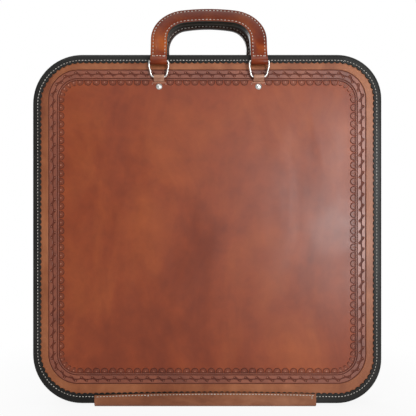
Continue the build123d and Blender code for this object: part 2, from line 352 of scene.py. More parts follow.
def fill(tree, node, sockets):
    # each socket takes a link, a colour or a plain value
    for name, value in sockets.items():
        socket = node.inputs[name]
        if isinstance(value, bpy.types.NodeSocket):
            tree.links.new(value, socket)
        else:
            socket.default_value = (*value, 1) if socket.type == "RGBA" else value


def addNode(tree, kind, sockets, **settings):
    node = tree.nodes.new("ShaderNode" + kind)
    for key, value in settings.items():
        setattr(node, key, value)
    fill(tree, node, sockets)
    return node.outputs


def objectPlace(tree):
    return addNode(tree, "TexCoord", {})["Object"]


def stretched(tree, place, scale):
    return addNode(tree, "Mapping", {"Vector": place, "Scale": scale})["Vector"]


def mathNode(tree, operation, *values, **settings):
    return addNode(tree, "Math", dict(enumerate(values)), operation=operation, **settings)["Value"]


def noise(tree, place, scale, detail, roughness, distortion=0.0):
    sockets = {"Vector": place, "Scale": scale, "Detail": detail, "Roughness": roughness}
    return addNode(tree, "TexNoise", sockets | {"Distortion": distortion})["Fac"]


def wave(tree, place, scale, distortion, direction):
    sockets = {"Vector": place, "Scale": scale, "Distortion": distortion}
    return addNode(tree, "TexWave", sockets, bands_direction=direction)


def ramp(tree, factor, *stops):
    node = tree.nodes.new("ShaderNodeValToRGB")
    for number, (position, colour) in enumerate(stops):
        elements = node.color_ramp.elements
        stop = elements[number] if number < 2 else elements.new(position)
        stop.position = position
        stop.color = (*colour, 1)
    fill(tree, node, {"Fac": factor})
    return node.outputs["Color"]


def blendColours(tree, factor, first, second, kind="MIX"):
    sockets = {"Fac": factor, "Color1": first, "Color2": second}
    return addNode(tree, "MixRGB", sockets, blend_type=kind)["Color"]


def spread(tree, value, fromLow, fromHigh, toLow, toHigh):
    sockets = {"Value": value, "From Min": fromLow, "From Max": fromHigh, "To Min": toLow, "To Max": toHigh}
    return addNode(tree, "MapRange", sockets)["Result"]


def bump(tree, height, strength, distance, under=None):
    sockets = {"Height": height, "Strength": strength, "Distance": distance}
    if under:
        sockets["Normal"] = under
    return addNode(tree, "Bump", sockets)["Normal"]


def leatherLook(name, finish):
    tree, shader = startLook(name)
    place = objectPlace(tree)
    dark, mid, light = finish["shades"]
    patches = noise(tree, stretched(tree, place, finish["stretch"]), finish["patchScale"], 6, 0.58, 0.5)
    mottle = noise(tree, place, finish["mottleScale"], 5, 0.6, 0.2)
    broad = ramp(tree, patches, (0.32, dark), (0.68, light), (0.5, mid))
    fine = ramp(tree, mottle, (0.3, finish["mottleDark"]), (0.7, finish["mottleLight"]))
    colour = blendColours(tree, finish["mottleShare"], broad, fine, "OVERLAY")
    split = addNode(tree, "SeparateXYZ", {"Vector": place})
    if "lowShare" in finish:
        # dye gathers in the tooled hollows
        low, high = finish["lowDepths"]
        depth = mathNode(tree, "ABSOLUTE", split["Y"])
        hollow = spread(tree, depth, low * mm, high * mm, finish["lowShare"], 0.0)
        colour = blendColours(tree, hollow, colour, finish["lowColour"])
    if "topShare" in finish:
        # the leather is darker towards the top of the arch
        low, high = finish["topHeights"]
        towardTop = spread(tree, split["Z"], low * mm, high * mm, 0.0, finish["topShare"])
        colour = blendColours(tree, towardTop, colour, finish["topColour"])
    # rubbed places are smoother, in upright streaks
    rubbed = noise(tree, stretched(tree, place, (1.0, 1.0, 0.4)), finish["rubScale"], 4, 0.6, 0.5)
    middle, reach = finish["roughness"], finish["rubSpread"]
    pores = noise(tree, place, finish["grainScale"] * 1.7, 4, 0.6)
    waves = noise(tree, place, finish["waveScale"], 2, 0.5)
    creases = {"Vector": place, "Scale": finish["grainScale"]}
    creases = addNode(tree, "TexVoronoi", creases, feature="DISTANCE_TO_EDGE")["Distance"]
    normal = bump(tree, waves, finish["waveStrength"], 0.004)
    normal = bump(tree, pores, finish["grainStrength"] * 0.6, 0.0003, normal)
    normal = bump(tree, creases, finish["grainStrength"], 0.0003, normal)
    fill(tree, shader, {
        "Base Color": colour, "Roughness": spread(tree, rubbed, 0.32, 0.68, middle - reach, middle + reach),
        "Specular IOR Level": finish["gloss"], "Normal": normal,
    })


# what the leathers share, and then each one's dark, middle and light shades and its own differences
tanned = {
    "mottleDark": (0.38, 0.35, 0.33), "mottleLight": (0.61, 0.62, 0.62), "mottleShare": 0.5,
    "patchScale": 11, "mottleScale": 48, "stretch": (1, 1, 0.6), "rubScale": 16, "rubSpread": 0.055,
    "roughness": 0.4, "gloss": 0.4, "grainScale": 1500, "grainStrength": 0.1,
    "waveScale": 14, "waveStrength": 0.06, "lowDepths": (20.3, 20.96),
}
leathers = {
    "fieldLeather": {
        "shades": ((0.17, 0.027, 0.007), (0.232, 0.04, 0.009), (0.31, 0.066, 0.014)),
        "stretch": (1, 1, 0.55), "patchScale": 12, "rubSpread": 0.09,
        "lowShare": 0.7, "lowColour": (0.105, 0.017, 0.007),
    },
    "borderLeather": {
        "shades": ((0.15, 0.032, 0.012), (0.205, 0.046, 0.017), (0.27, 0.07, 0.028)),
        "patchScale": 30, "gloss": 0.7, "lowShare": 0.7, "lowColour": (0.1, 0.019, 0.009),
    },
    "marginLeather": {
        "shades": ((0.2, 0.052, 0.017), (0.28, 0.086, 0.03), (0.355, 0.125, 0.05)),
        "patchScale": 24, "lowShare": 0.8, "lowColour": (0.09, 0.02, 0.01),
    },
    "hollowLeather": {
        "shades": ((0.075, 0.014, 0.006), (0.11, 0.022, 0.01), (0.15, 0.034, 0.015)),
        "roughness": 0.55, "gloss": 0.3,
    },
    # lighter leather for the beads, partly wear and partly a painted highlight
    "wornAndHighlightLeather": {
        "shades": ((0.27, 0.085, 0.045), (0.34, 0.125, 0.075), (0.42, 0.19, 0.125)), "roughness": 0.33,
    },
    "lipLeather": {"shades": ((0.27, 0.095, 0.048), (0.34, 0.135, 0.078), (0.41, 0.19, 0.12))},
    "bindingLeather": {
        "shades": ((0.007, 0.007, 0.006), (0.012, 0.012, 0.011), (0.021, 0.021, 0.02)),
        "gloss": 0.18, "grainStrength": 0.22, "grainScale": 1100,
    },
    "gussetLeather": {
        "shades": ((0.095, 0.022, 0.009), (0.135, 0.034, 0.014), (0.18, 0.05, 0.02)),
        "roughness": 0.48, "gloss": 0.3,
    },
    "stampLeather": {"shades": ((0.12, 0.022, 0.008), (0.17, 0.034, 0.012), (0.23, 0.052, 0.018))},
    "tabLeather": {
        "shades": ((0.3, 0.125, 0.075), (0.4, 0.195, 0.125), (0.5, 0.28, 0.195)),
        "patchScale": 90, "roughness": 0.42, "gloss": 0.35,
    },
    "handleLeather": {
        "shades": ((0.115, 0.016, 0.005), (0.205, 0.032, 0.007), (0.345, 0.078, 0.014)),
        "patchScale": 26, "stretch": (1, 1, 1), "roughness": 0.31, "rubSpread": 0.04, "gloss": 0.2,
        "topHeights": (452, 490), "topShare": 0.75, "topColour": (0.095, 0.018, 0.008),
    },
    "handleBackLeather": {
        "shades": ((0.022, 0.009, 0.006), (0.038, 0.015, 0.009), (0.07, 0.026, 0.014)),
        "patchScale": 26, "stretch": (1, 1, 1), "roughness": 0.42,
    },
    "burnishedEdge": {
        "shades": ((0.008, 0.01, 0.008), (0.014, 0.017, 0.013), (0.028, 0.03, 0.022)),
        "patchScale": 60, "roughness": 0.36, "gloss": 0.25, "stretch": (1, 1, 1),
    },
    "coreLeather": {
        "shades": ((0.01, 0.009, 0.007), (0.02, 0.016, 0.011), (0.038, 0.028, 0.018)),
        "patchScale": 70, "stretch": (1, 1, 1),
    },
    "stripLeather": {
        "shades": ((0.165, 0.052, 0.022), (0.235, 0.084, 0.038), (0.3, 0.125, 0.064)),
        "patchScale": 16, "stretch": (1, 1, 3), "gloss": 0.3,
    },
}
for name, finish in leathers.items():
    leatherLook(name, tanned | finish)


def clothLook(name, finish):
    tree, shader = startLook(name)
    place = objectPlace(tree)
    across, up, through = [wave(tree, place, finish["threadScale"], 0.6, way)["Color"] for way in "XZY"]
    crossed = blendColours(tree, 1.0, across, up, "MULTIPLY")
    crossed = blendColours(tree, 0.35, crossed, through, "SCREEN")
    cloudy = noise(tree, place, 30.0, 4, 0.6)
    threads = blendColours(tree, crossed, finish["dark"], finish["light"])
    faded = ramp(tree, cloudy, (0.3, (0.4, 0.4, 0.4)), (0.7, (0.6, 0.6, 0.6)))
    woven = bump(tree, crossed, 0.5, 0.0002)
    fill(tree, shader, {
        "Base Color": blendColours(tree, 0.5, threads, faded, "OVERLAY"), "Roughness": finish["roughness"],
        "Specular IOR Level": 0.2, "Sheen Weight": 0.25, "Normal": bump(tree, cloudy, 0.12, 0.003, woven),
    })


cloths = {
    "liningCloth": {
        "threadScale": 480.0, "dark": (0.20, 0.12, 0.07), "light": (0.42, 0.29, 0.19), "roughness": 0.85,
    },
    "zipCloth": {
        "threadScale": 620.0, "dark": (0.010, 0.009, 0.008), "light": (0.045, 0.038, 0.032), "roughness": 0.8,
    },
}


def metalLook(name, finish):
    tree, shader = startLook(name)
    place = objectPlace(tree)
    tarnish = noise(tree, place, finish["spotScale"], 5, 0.65)
    scratch = noise(tree, place, finish["scratchScale"], 2, 0.5)
    fill(tree, shader, {
        "Base Color": ramp(tree, tarnish, (0.35, finish["dull"]), (0.6, finish["bright"])), "Metallic": 1.0,
        "Roughness": spread(tree, tarnish, 0.3, 0.7, finish["roughness"] + 0.1, finish["roughness"]),
        "Normal": bump(tree, scratch, 0.08, 0.0002),
    })


metals = {
    "nickel": {
        "spotScale": 220.0, "scratchScale": 1800.0, "dull": (0.55, 0.55, 0.53), "bright": (0.74, 0.74, 0.72),
        "roughness": 0.22,
    },
    "zipMetal": {
        "spotScale": 300.0, "scratchScale": 2400.0, "dull": (0.30, 0.27, 0.22), "bright": (0.58, 0.54, 0.46),
        "roughness": 0.28,
    },
}


def threadLook(name, finish):
    tree, shader = startLook(name)
    place = objectPlace(tree)
    twist = wave(tree, place, finish["twistScale"], 1.2, "DIAGONAL")
    soil = noise(tree, place, 60.0, 4, 0.6)
    shade = ramp(tree, soil, (0.35, finish["soiled"]), (0.62, finish["clean"]))
    fill(tree, shader, {
        "Base Color": blendColours(tree, 0.25, shade, twist["Color"], "MULTIPLY"),
        "Roughness": 0.6, "Specular IOR Level": 0.25, "Normal": bump(tree, twist["Fac"], 0.5, 0.0002),
    })


threads = {
    "paleThread": {"twistScale": 900.0, "soiled": (0.50, 0.45, 0.39), "clean": (0.74, 0.71, 0.66)},
    "darkThread": {"twistScale": 900.0, "soiled": (0.020, 0.014, 0.010), "clean": (0.06, 0.045, 0.035)},
    "coilPlastic": {"twistScale": 400.0, "soiled": (0.012, 0.011, 0.010), "clean": (0.030, 0.028, 0.026)},
}
for makeLook, finishes in ((clothLook, cloths), (metalLook, metals), (threadLook, threads)):
    for name, finish in finishes.items():
        makeLook(name, finish)

print("finishes made")


# one stitch: a short fat loop of thread whose ends dive into the leather

stitch = {"length": 2.3, "width": 1, "proud": 0.45, "sunk": 0.3, "level": 0.5, "dive": 0.55, "endShare": 0.6}


def makeStitch(look, length=stitch["length"], width=stitch["width"]):
    proud, sunk, level = stitch["proud"], stitch["sunk"], length * stitch["level"]
    piece = addBlock((0, 0, (proud - sunk) / 2), (level, width, proud + sunk))
    for sign in (-1, 1):
        selectFaces(piece, lambda face: face.normal.x * sign > 0.9)
        pushOut(sign * (length - level) / 2, 0, -proud * stitch["dive"])
        resize(1, stitch["endShare"], stitch["endShare"])
        setMode("OBJECT")
    rounder = piece.modifiers.new("rounder", "SUBSURF")
    rounder.levels = rounder.render_levels = 1
    applyModifiers(piece)
    bpy.ops.object.shade_smooth()
    paint(piece, look)
    return piece


# panels: a slab, and over it the raised leather that the border stamps leave standing

panel = {
    "back": 18.0, "floor": 20.25, "top": 21.0, "overlap": 0.15, "slabInset": 2.0, "slabRim": 0.1,
    "marginInset": 4.0, "groove": 1.2, "innerGroove": 10.6, "innerGrooveEnd": 11.8, "ridgeEdge": 13.05,
    "ridgeEnd": 13.3, "rim": 0.32, "reference": 5.9, "cornerSteps": 24,
}
lobe = {
    "count": 108, "ridge": 1.2, "lean": 0.42,
    "sides": ((5.7, 0.0), (5.1, 0.9), (4.5, 1.9), (3.8, 2.55), (2.7, 2.95), (0.0, 3.1)),
}
shellStamp = {
    "count": 144, "width": 9.1, "depth": 6.6, "petal": 3.75, "petalTop": 20.95, "petalEnd": 1.2,
    "petalRim": 0.3, "bead": 1.0, "beadBelow": 0.2, "beadSunk": 0.1, "beadSquash": 0.5, "slitClear": 10.2,
}
# small beads where the stems of the two rows of lobes open, in lighter leather that is partly wear and partly
# a painted highlight
stemBead = {"radius": 0.75, "squash": 0.7, "lift": 0.2, "rows": ((0.0, 3.6), (0.5, 8.2))}
slit = {
    "halfWidth": 6.7, "top": 12.55, "foot": 15.35, "lipWidth": 17.5, "lipDrop": 2.2, "lipProud": 0.7,
    "lipShoulder": 0.9, "lipSlopes": (0.7, 1.2), "lipRim": 0.6, "holder": (1.3, 0.8), "holderIn": 0.3,
    "holderBelow": 0.4,
}
borderRound = edgeLength(borderSquare, panel["reference"])  # the line on which the stamps are spaced


def borderSpot(distance, inset, side=-1):
    # spots are spaced on the stamps' own line, whatever their inset
    x, z, normal = edgeSpot(borderSquare, panel["reference"], distance, side)
    out = panel["reference"] - inset
    return x + out * cos(normal), z + out * sin(normal), normal


def borderPoint(distance, inset):
    return borderSpot(distance, inset)[:2]


def lobedLines(edge, direction, shift):
    # the plain side and the lobed side of a row, point for point
    steps = [(-half, out) for half, out in lobe["sides"]]
    steps += [(half, out) for half, out in reversed(lobe["sides"][:-1])]
    plain, lobed = [], []
    for number in range(lobe["count"]):
        centre = (number + 0.5 + shift) * borderRound / lobe["count"]
        for across, out in steps:
            distance = centre + across + lobe["lean"] * out * direction
            plain.append(borderPoint(distance, edge))
            lobed.append(borderPoint(distance, edge + (lobe["ridge"] + out) * direction))
    return plain, lobed


def stampPlaces(slitsAt):
    places = []
    for number in range(shellStamp["count"]):
        distance = (number + 0.5) * borderRound / shellStamp["count"]
        x, z = borderPoint(distance, panel["ridgeEnd"])
        if z < -footLine or all(abs(x - middle) > shellStamp["slitClear"] for middle in slitsAt):
            places.append(distance)
    return places


def notchedLoop(slitsAt):
    # the edge of the plain field, bitten by the shell stamps and the slits
    start = panel["ridgeEnd"] + panel["rim"]
    half = shellStamp["width"] / 2 + panel["rim"]
    shoulder = shellStamp["depth"] - shellStamp["width"] / 2 - panel["rim"]
    marks = [(distance, "stamp") for distance in stampPlaces(slitsAt)]
    marks += [(middle % borderRound, "slit") for middle in slitsAt]
    loop = []
    for distance, kind in sorted(marks):
        if kind == "slit":
            for across, inset in ((-1, start), (-1, slit["foot"]), (1, slit["foot"]), (1, start)):
                loop.append(borderPoint(distance + across * slit["halfWidth"], inset))
            continue
        loop.append(borderPoint(distance - half, start))
        for step in range(9):
            angle = pi * step / 8
            inset = start + shoulder + half * sin(angle)
            loop.append(borderPoint(distance - half * cos(angle), inset))
        loop.append(borderPoint(distance + half, start))
    return loop


def makeBead(radius, squash, segments, rings, up=0.0, out=0.0):
    bpy.ops.mesh.primitive_uv_sphere_add(segments=segments, ring_count=rings, radius=radius * mm)
    bead = bpy.context.object
    selectFaces(bead)
    resize(1, 1, squash)
    bpy.ops.transform.translate(value=(0, up * mm, out * mm))
    setMode("OBJECT")
    bpy.ops.object.shade_smooth()
    # the beads are painted in the lighter leather, partly wear and partly a painted highlight
    paint(bead, "wornAndHighlightLeather")
    return bead


def makeStamp():
    radius, top = shellStamp["petal"], shellStamp["petalTop"]
    middle = panel["reference"] - panel["ridgeEnd"] - shellStamp["depth"] + shellStamp["width"] / 2
    turns = [pi * step / 10 for step in range(11)]
    petal = [(radius * cos(turn), middle - radius * sin(turn)) for turn in turns]
    petal += [(across * radius, middle + shellStamp["petalEnd"]) for across in (-1, 1)]
    rim = shellStamp["petalRim"]
    raised = flatSheet("stampLeather", [petal], panel["floor"] - rim, top, rim)
    up, out = middle - shellStamp["beadBelow"], top - shellStamp["beadSunk"]
    return joinAs("stamp", [raised, makeBead(shellStamp["bead"], shellStamp["beadSquash"], 10, 6, up, out)])


def slitPlaces(side):
    return [-side * x for x in ringPlaces.values()]


def makeLip(side, x):
    # a pale lip of leather that the strap pushes up under its slit, with a holding stitch at each end
    half, drop, top = slit["lipWidth"] / 2, slit["lipDrop"], panel["top"]
    z = borderPoint(0, slit["foot"])[1]
    upper, lower = slit["lipSlopes"]
    sides = ((half - upper, 0), (half, -slit["lipShoulder"]), (half - lower, -drop))
    outline = [(x + across, z + up) for across, up in sides]
    outline += [(x - across, z + up) for across, up in reversed(sides)]
    lip = flatSheet("lipLeather", [outline], top - slit["lipRim"], top + slit["lipProud"], slit["lipRim"], 3)
    lip.data.transform(faceMatrix(side))
    holder = makeStitch("paleThread", *slit["holder"])
    ends = [x + across * (half - slit["holderIn"]) for across in (-1, 1)]
    spots = [onFace(side, end, z - drop - slit["holderBelow"], pi, top) for end in ends]
    holders = strew("holders", holder, spots)
    discard(holder)
    return [lip, holders]


def makePanel(shell, side):
    slitsAt = slitPlaces(side)
    slitEnds = [borderPoint(0, slit[end])[1] for end in ("top", "foot")]
    level = (panel["floor"] - panel["overlap"], panel["top"], panel["rim"])

    def tooledLoop(inset):
        return roundLoop(borderSquare, inset, side, panel["cornerSteps"])

    holes = [boxLoop(x, slit["halfWidth"], *slitEnds) for x in slitsAt]
    slab = [roundLoop(caseSquare, panel["slabInset"], side)] + holes
    margin = [roundLoop(caseSquare, panel["marginInset"], side), tooledLoop(0)]
    ridge = [tooledLoop(panel["innerGrooveEnd"]), tooledLoop(panel["ridgeEdge"])]
    parts = [
        flatSheet("hollowLeather", slab, panel["back"], panel["floor"], panel["slabRim"], 1),
        flatSheet("marginLeather", margin, *level),
        bandSheet("borderLeather", lobedLines(panel["groove"], 1, 0), *level),
        bandSheet("borderLeather", lobedLines(panel["innerGroove"], -1, 0.5), *level),
        flatSheet("borderLeather", ridge, *level),
        flatSheet("fieldLeather", [notchedLoop(slitsAt)], *level, drawnIn=False),
    ]
    for piece in parts:
        piece.data.transform(faceMatrix(side))

    stamp = makeStamp()
    spots = [borderSpot(distance, panel["reference"], side) for distance in stampPlaces(slitsAt)]
    parts.append(strew("stamps", stamp, [onFace(side, *spot, 0) for spot in spots]))
    bead = makeBead(stemBead["radius"], stemBead["squash"], 8, 5)
    spots = []
    for number in range(lobe["count"]):
        for shift, inset in stemBead["rows"]:
            spot = borderSpot((number + shift) * borderRound / lobe["count"], inset, side)
            spots.append(onFace(side, *spot, panel["floor"] + stemBead["lift"]))
    parts.append(strew("stemBeads", bead, spots))
    discard(stamp, bead)
    for x in slitsAt:
        parts += makeLip(side, x)

    whole = joinAs(shell + "TooledPanel", parts)
    smooth(whole, 60)
    flattenTops(whole)
    mount(whole, shell + "_shell", "panel_leather", shell + "_panel")
    return whole


for shell, side in shells:
    made = makePanel(shell, side)
    print(shell, "panel made,", len(made.data.polygons), "faces")


# bindings with their stitches

binding = {"pitch": 3.9, "top": 22.3, "back": 15.3, "innerInset": 6.7, "softness": 0.3, "stripClear": 1.0}
# the seam runs nearer the edge at the sides than at the foot, and the strip hides part of it
seamSquare = {"width": 418.8, "height": 415.4, "radii": (48.4, 48.4, 54.4, 54.4), "rise": 0.7}
strip = {
    "left": -139.0, "right": 134.0, "heights": (13.9, 17.2, 15.6), "faces": {"front": 25.0, "back": 24.7},
    "depthCuts": (18.8, 19.6, 20.2, 21.0, 22.0, 23.0, 24.0), "heightCuts": (4.0, 5.0, 6.2, 8.0),
    "softness": 0.35, "thread": (2.6, 1.1), "pitch": 3.9, "stitchDrop": 1.5, "stitchEnd": 4.0,
    "barTacks": ((128.7, 13.2), (128.7, 10.9), (-72.9, 14.0)),
}


def underStrip(x, z):
    clear = binding["stripClear"]
    return z < footLine and strip["left"] - clear < x < strip["right"] + clear


for shell, side in shells:
    body = shell + "_shell"
    name = shell + "FoldedBinding"
    dressNode(shell + "_binding", name, "bindingLeather", body, "binding_leather", binding["softness"])
    thread = makeStitch("paleThread")
    seam = evenSpots(seamSquare, 0, side, binding["pitch"])
    shown = [spot for spot in seam if not underStrip(-side * spot[0], spot[1])]
    outside = [onFace(side, *spot, binding["top"]) for spot in shown]
    inner = evenSpots(caseSquare, binding["innerInset"], side, 0, len(seam))
    inside = [onFace(side, *spot, binding["back"]) @ turnedOver for spot in inner]
    mount(strew(shell + "EdgeStitches", thread, outside), body)
    mount(strew(shell + "InnerEdgeStitches", thread, inside), body)
    discard(thread)

print("bindings stitched")


# gussets, linings and the zip

gusset = {
    "softness": 0.25, "inset": 9, "stitchDepth": 10.5, "pitch": 3.4, "thread": (2.4, 0.9), "zipMouth": 146,
}
# cut 7 mm larger all round than it shows, with the edge turned in as a hem
lining = {
    "inset": 10.55, "hem": 7.0, "back": 17.0, "front": 18.0, "cut": (0.425, 0.425), "cutArea": 0.178,
    "rim": 0.3, "hemUnder": 0.1, "hemBack": 16.5, "hemFront": 17.4, "hemRim": 0.4, "seamInset": 16.05,
    "pitch": 3.6, "slitHalf": 6.8, "slitEnds": (182.2, 184.8), "rivetHeight": 176.5, "rivetHole": 1.8,
}
zipCoil = {
    "pitch": 2.0, "inset": 9.3, "outset": 12.3, "near": 0.6, "far": 3.1, "thick": 1.15, "head": 1.33,
    "leg": (0.75, 0.6, 0.8), "headSteps": ((0.15, 1.25), (0.25, 0.85)), "tip": 0.75, "softness": 0.12,
    "lockedNear": -0.55, "lockedHead": 1.07, "openHalf": 147.0, "openAbove": 150.0, "mouthSpare": 1.0,
    "tapeInset": 10.45, "tapeOutset": 11.25, "tapeNear": 0.06, "tapeStep": 3.0, "tapeRim": 0.1,
}


def zipIsLocked(x, z):
    # the sliders never reach the corners and the sides, so the zip stays closed there
    return z < zipCoil["openAbove"] or abs(x) > zipCoil["openHalf"]


def inZip(x, z, spare=0):
    return z > footLine or abs(x) > gusset["zipMouth"] + spare


def makeTooth(near, head):
    # one turn of the coil: a leg from the tape with a fatter head towards the other half
    deep = zipCoil["far"] - near
    tall = zipCoil["outset"] - zipCoil["inset"]
    wide, leg, up = zipCoil["leg"]
    tooth = addBlock((0, near + deep * (1 - leg / 2), 0), (zipCoil["thick"] * wide, deep * leg, tall * up))
    selectFaces(tooth, lambda face: face.normal.y < -0.9)
    for (share, taller), wider in zip(zipCoil["headSteps"], (head, zipCoil["tip"])):
        pushOut(0, -deep * share, 0)
        resize(wider, 1, taller)
    setMode("OBJECT")
    softenEdges(tooth, zipCoil["softness"], 1, 30)
    bpy.ops.object.shade_smooth()
    paint(tooth, "coilPlastic")
    return tooth


def makeLining(shell, side):
    shown, hemEnd = lining["inset"], lining["inset"] + lining["hem"]
    loops = [roundLoop(caseSquare, shown, side)]
    for x in slitPlaces(side):
        loops.append(boxLoop(x, lining["slitHalf"], *lining["slitEnds"]))
        loops.append(circleLoop(x, lining["rivetHeight"], lining["rivetHole"], 16))
    hem = [roundLoop(caseSquare, inset, side) for inset in (shown + lining["hemUnder"], hemEnd)]
    cloth = joinAs(shell + "HemmedLining", [
        flatSheet("liningCloth", loops, lining["back"], lining["front"], lining["rim"]),
        flatSheet("liningCloth", hem, lining["hemBack"], lining["hemFront"], lining["hemRim"], 3),
    ])
    cloth.data.transform(faceMatrix(side))
    smooth(cloth, 60)
    flattenTops(cloth)
    mount(cloth, shell + "_shell", "lining_cloth", shell + "_lining")


def makeTeeth(shell, side):
    tooth = makeTooth(zipCoil["near"], zipCoil["head"])
    lockedTooth = makeTooth(zipCoil["lockedNear"], zipCoil["lockedHead"])
    middle = (zipCoil["inset"] + zipCoil["outset"]) / 2
    total = edgeLength(caseSquare, middle)
    count = round(total / zipCoil["pitch"])
    offset = 0.5 if side > 0 else 0.0
    apart, locked = [], []
    for number in range(count):
        x, z, normal = edgeSpot(caseSquare, middle, -side * (number + offset) * total / count, side)
        if inZip(x, z, zipCoil["mouthSpare"]):
            # the tooth's y runs out from the middle plane, its z out of the wall
            spots = locked if zipIsLocked(x, z) else apart
            spots.append(onWall(side, x, z, normal, 0) @ Matrix.Rotation(pi, 4, "Z"))
    rows = [strew("teeth", tooth, apart), strew("lockedTeeth", lockedTooth, locked)]
    teeth = joinAs(shell + "ZipTeeth", rows)
    discard(tooth, lockedTooth)
    mount(teeth, shell + "_shell", "zip_coil", shell + "_zip_coil")


def makeTapeEdge(shell, side):
    # under the closed teeth the tape's edge runs on to the middle
    ends = (zipCoil["tapeInset"], zipCoil["tapeOutset"])
    lengths = [edgeLength(caseSquare, inset) for inset in ends]
    count = round(lengths[0] / zipCoil["tapeStep"])
    rungs = []
    for number in range(count):
        spots = [edgeSpot(caseSquare, inset, number / count * run, side) for inset, run in zip(ends, lengths)]
        rung = [spot[:2] for spot in spots]
        if zipIsLocked(*rung[0]) and inZip(*rung[0], zipCoil["mouthSpare"]):
            rungs.append(rung)
    level = (zipCoil["tapeNear"], zipCoil["far"], zipCoil["tapeRim"])
    edges = []
    for hand in (-1, 1):
        lines = list(zip(*[rung for rung in rungs if hand * rung[0][0] > 0]))
        edges.append(bandSheet("zipCloth", lines, *level, closed=False))
    edge = joinAs(shell + "TapeEdge", edges)
    edge.data.transform(faceMatrix(side))
    closeUp(edge)
    smooth(edge, 40)
    mount(edge, shell + "_shell", "zip_cloth")


for shell, side in shells:
    body = shell + "_shell"
    name = shell + "SewnGusset"
    dressNode(shell + "_gusset", name, "gussetLeather", body, "gusset_leather", gusset["softness"])
    makeLining(shell, side)
    thread = makeStitch("darkThread", *gusset["thread"])
    spots = evenSpots(caseSquare, gusset["inset"], side, gusset["pitch"])
    places = [onWall(side, *spot, gusset["stitchDepth"]) for spot in spots if inZip(*spot[:2])]
    mount(strew(shell + "ZipSeamStitches", thread, places), body)
    spots = evenSpots(caseSquare, lining["seamInset"], side, lining["pitch"])
    places = [onFace(side, *spot, lining["hemBack"]) @ turnedOver for spot in spots]
    mount(strew(shell + "HemStitches", thread, places), body)
    discard(thread)
    dressNode(shell + "_zip_tape", shell + "WovenZipTape", "zipCloth", body, "zip_cloth", 0.15)
    makeTeeth(shell, side)
    makeTapeEdge(shell, side)
    dressNode(shell + "_zip_stops", shell + "ZipEndStops", "zipMetal", body, "zip_metal", 0.3)

for hand in ringPlaces:
    for part, softness, steps in (("Slider", 0.28, 3), ("Pull", 0.22, 2)):
        node = f"{hand}_{part.lower()}"
        dressNode(node, f"{hand}Zip{part}", "zipMetal", node, "zip_metal", softness, steps)

print("gussets, linings and zip made")


# tabs, rivets and rings

for shell, side in shells:
    for hand in ringPlaces:
        node = f"{shell}_{hand}_tab"
        dressNode(node, f"{shell}_{hand}RingTab", "tabLeather", shell + "_shell", "tab_leather", 0.28)
        paint(cadNodes[f"{shell}_{hand}_ring"], "nickel")
    dressNode(shell + "_rivets", shell + "DomedRivets", "nickel", shell + "_shell", "nickel", 0.15, 2, 60)


# handles: a crowned face leather, a core and a back leather, swept up a leg, over the top and down again

handle = {
    "half": 71.8, "width": 20.6, "cornerRadius": 45.0, "cornerX": 26.8, "cornerUp": 32.6, "rise": 2.0,
    "reach": 79.6, "foot": 5.5, "coreFoot": 16.0, "coreFull": 30.0, "coreHalf": 2.1,
    "barX": 2.0, "barDepth": 28.4, "barHeight": 423.8, "lean": {"front": 20.43, "back": 15.19},
    "legStops": (9.0, 18.5, 21.0, 23.5, 26.0, 28.5), "cornerSteps": 14, "topSteps": 12, "edge": 0.4,
    "footThin": 0.86, "thread": (2.7, 1.2), "pitch": 4.6, "stitchInset": 3.0, "faceStart": 1.6,
    "backStart": 12.5, "seamHeights": {1: 1.7, -1: -1.6}, "footRow": (1.95, 2.4, 2.4, 1.95), "footRowUp": 1.0,
}
# half sections, from the strap's edge to its middle
crown = (
    (0, 0), (0, 1.35), (0.45, 1.8), (1.7, 1.95), (2.5, 1.7), (3.4, 1.7), (4.7, 2.2), (6.9, 2.6),
    (10.3, 2.8),
)
backCrown = (
    (0, 0), (0, 1.3), (0.45, 1.75), (1.7, 1.85), (2.5, 1.6), (3.4, 1.6), (4.7, 1.95), (6.9, 2.2),
    (10.3, 2.35),
)
coreSection = ((0.25, -2.1), (0.1, -1.6), (0, 0), (0.1, 1.6), (0.25, 2.1), (10.3, 2.1))
# the face leather's loop round the ring's bar
loopRound = {
    "end": 16.0, "neck": 5.5, "under": 0.02, "thick": 2.4, "radius": 3.9, "bore": 1.5, "opening": 52.0,
    "steps": 16,
}

cornerX, cornerUp, cornerRadius = handle["cornerX"], handle["cornerUp"], handle["cornerRadius"]
topRadius = cornerRadius + (cornerX ** 2 + handle["rise"] ** 2) / (2 * handle["rise"])
topCentre = handle["reach"] - topRadius
cornerTurn = atan2(cornerUp - topCentre, cornerX)


def strapRuns(inset):
    # lengths of a leg, a corner, the top and the whole, that far in from the outer edge
    leg = cornerUp - handle["foot"]
    bend = (cornerRadius - inset) * cornerTurn
    top = (topRadius - inset) * (pi - 2 * cornerTurn)
    return leg, bend, top, 2 * leg + 2 * bend + top


def strapSpot(distance, inset):
    # a point on the handle's middle plane and the direction of its outer edge there, from the right foot
    leg, bend, top, whole = strapRuns(inset)
    if distance > whole / 2:
        x, up, normal = strapSpot(whole - distance, inset)
        return -x, up, pi - normal
    if distance < leg:
        return handle["half"] - inset, handle["foot"] + distance, 0.0
    distance -= leg
    if distance < bend:
        radius = cornerRadius - inset
        angle = distance / radius
        return cornerX + radius * cos(angle), cornerUp + radius * sin(angle), angle
    radius = topRadius - inset
    angle = cornerTurn + (distance - bend) / radius
    return radius * cos(angle), topCentre + radius * sin(angle), angle


def acrossStrap(x, up):
    # how far a point is in from the handle's outer edge
    if up < cornerUp:
        return handle["half"] - abs(x)
    fromCorner = atan2(up - cornerUp, abs(x) - cornerX)
    if fromCorner < cornerTurn:
        return cornerRadius - hypot(abs(x) - cornerX, up - cornerUp)
    return topRadius - hypot(x, up - topCentre)


def coreLift(up):
    share = (up - handle["coreFoot"]) / (handle["coreFull"] - handle["coreFoot"])
    return handle["coreHalf"] * min(max(share, 0), 1)


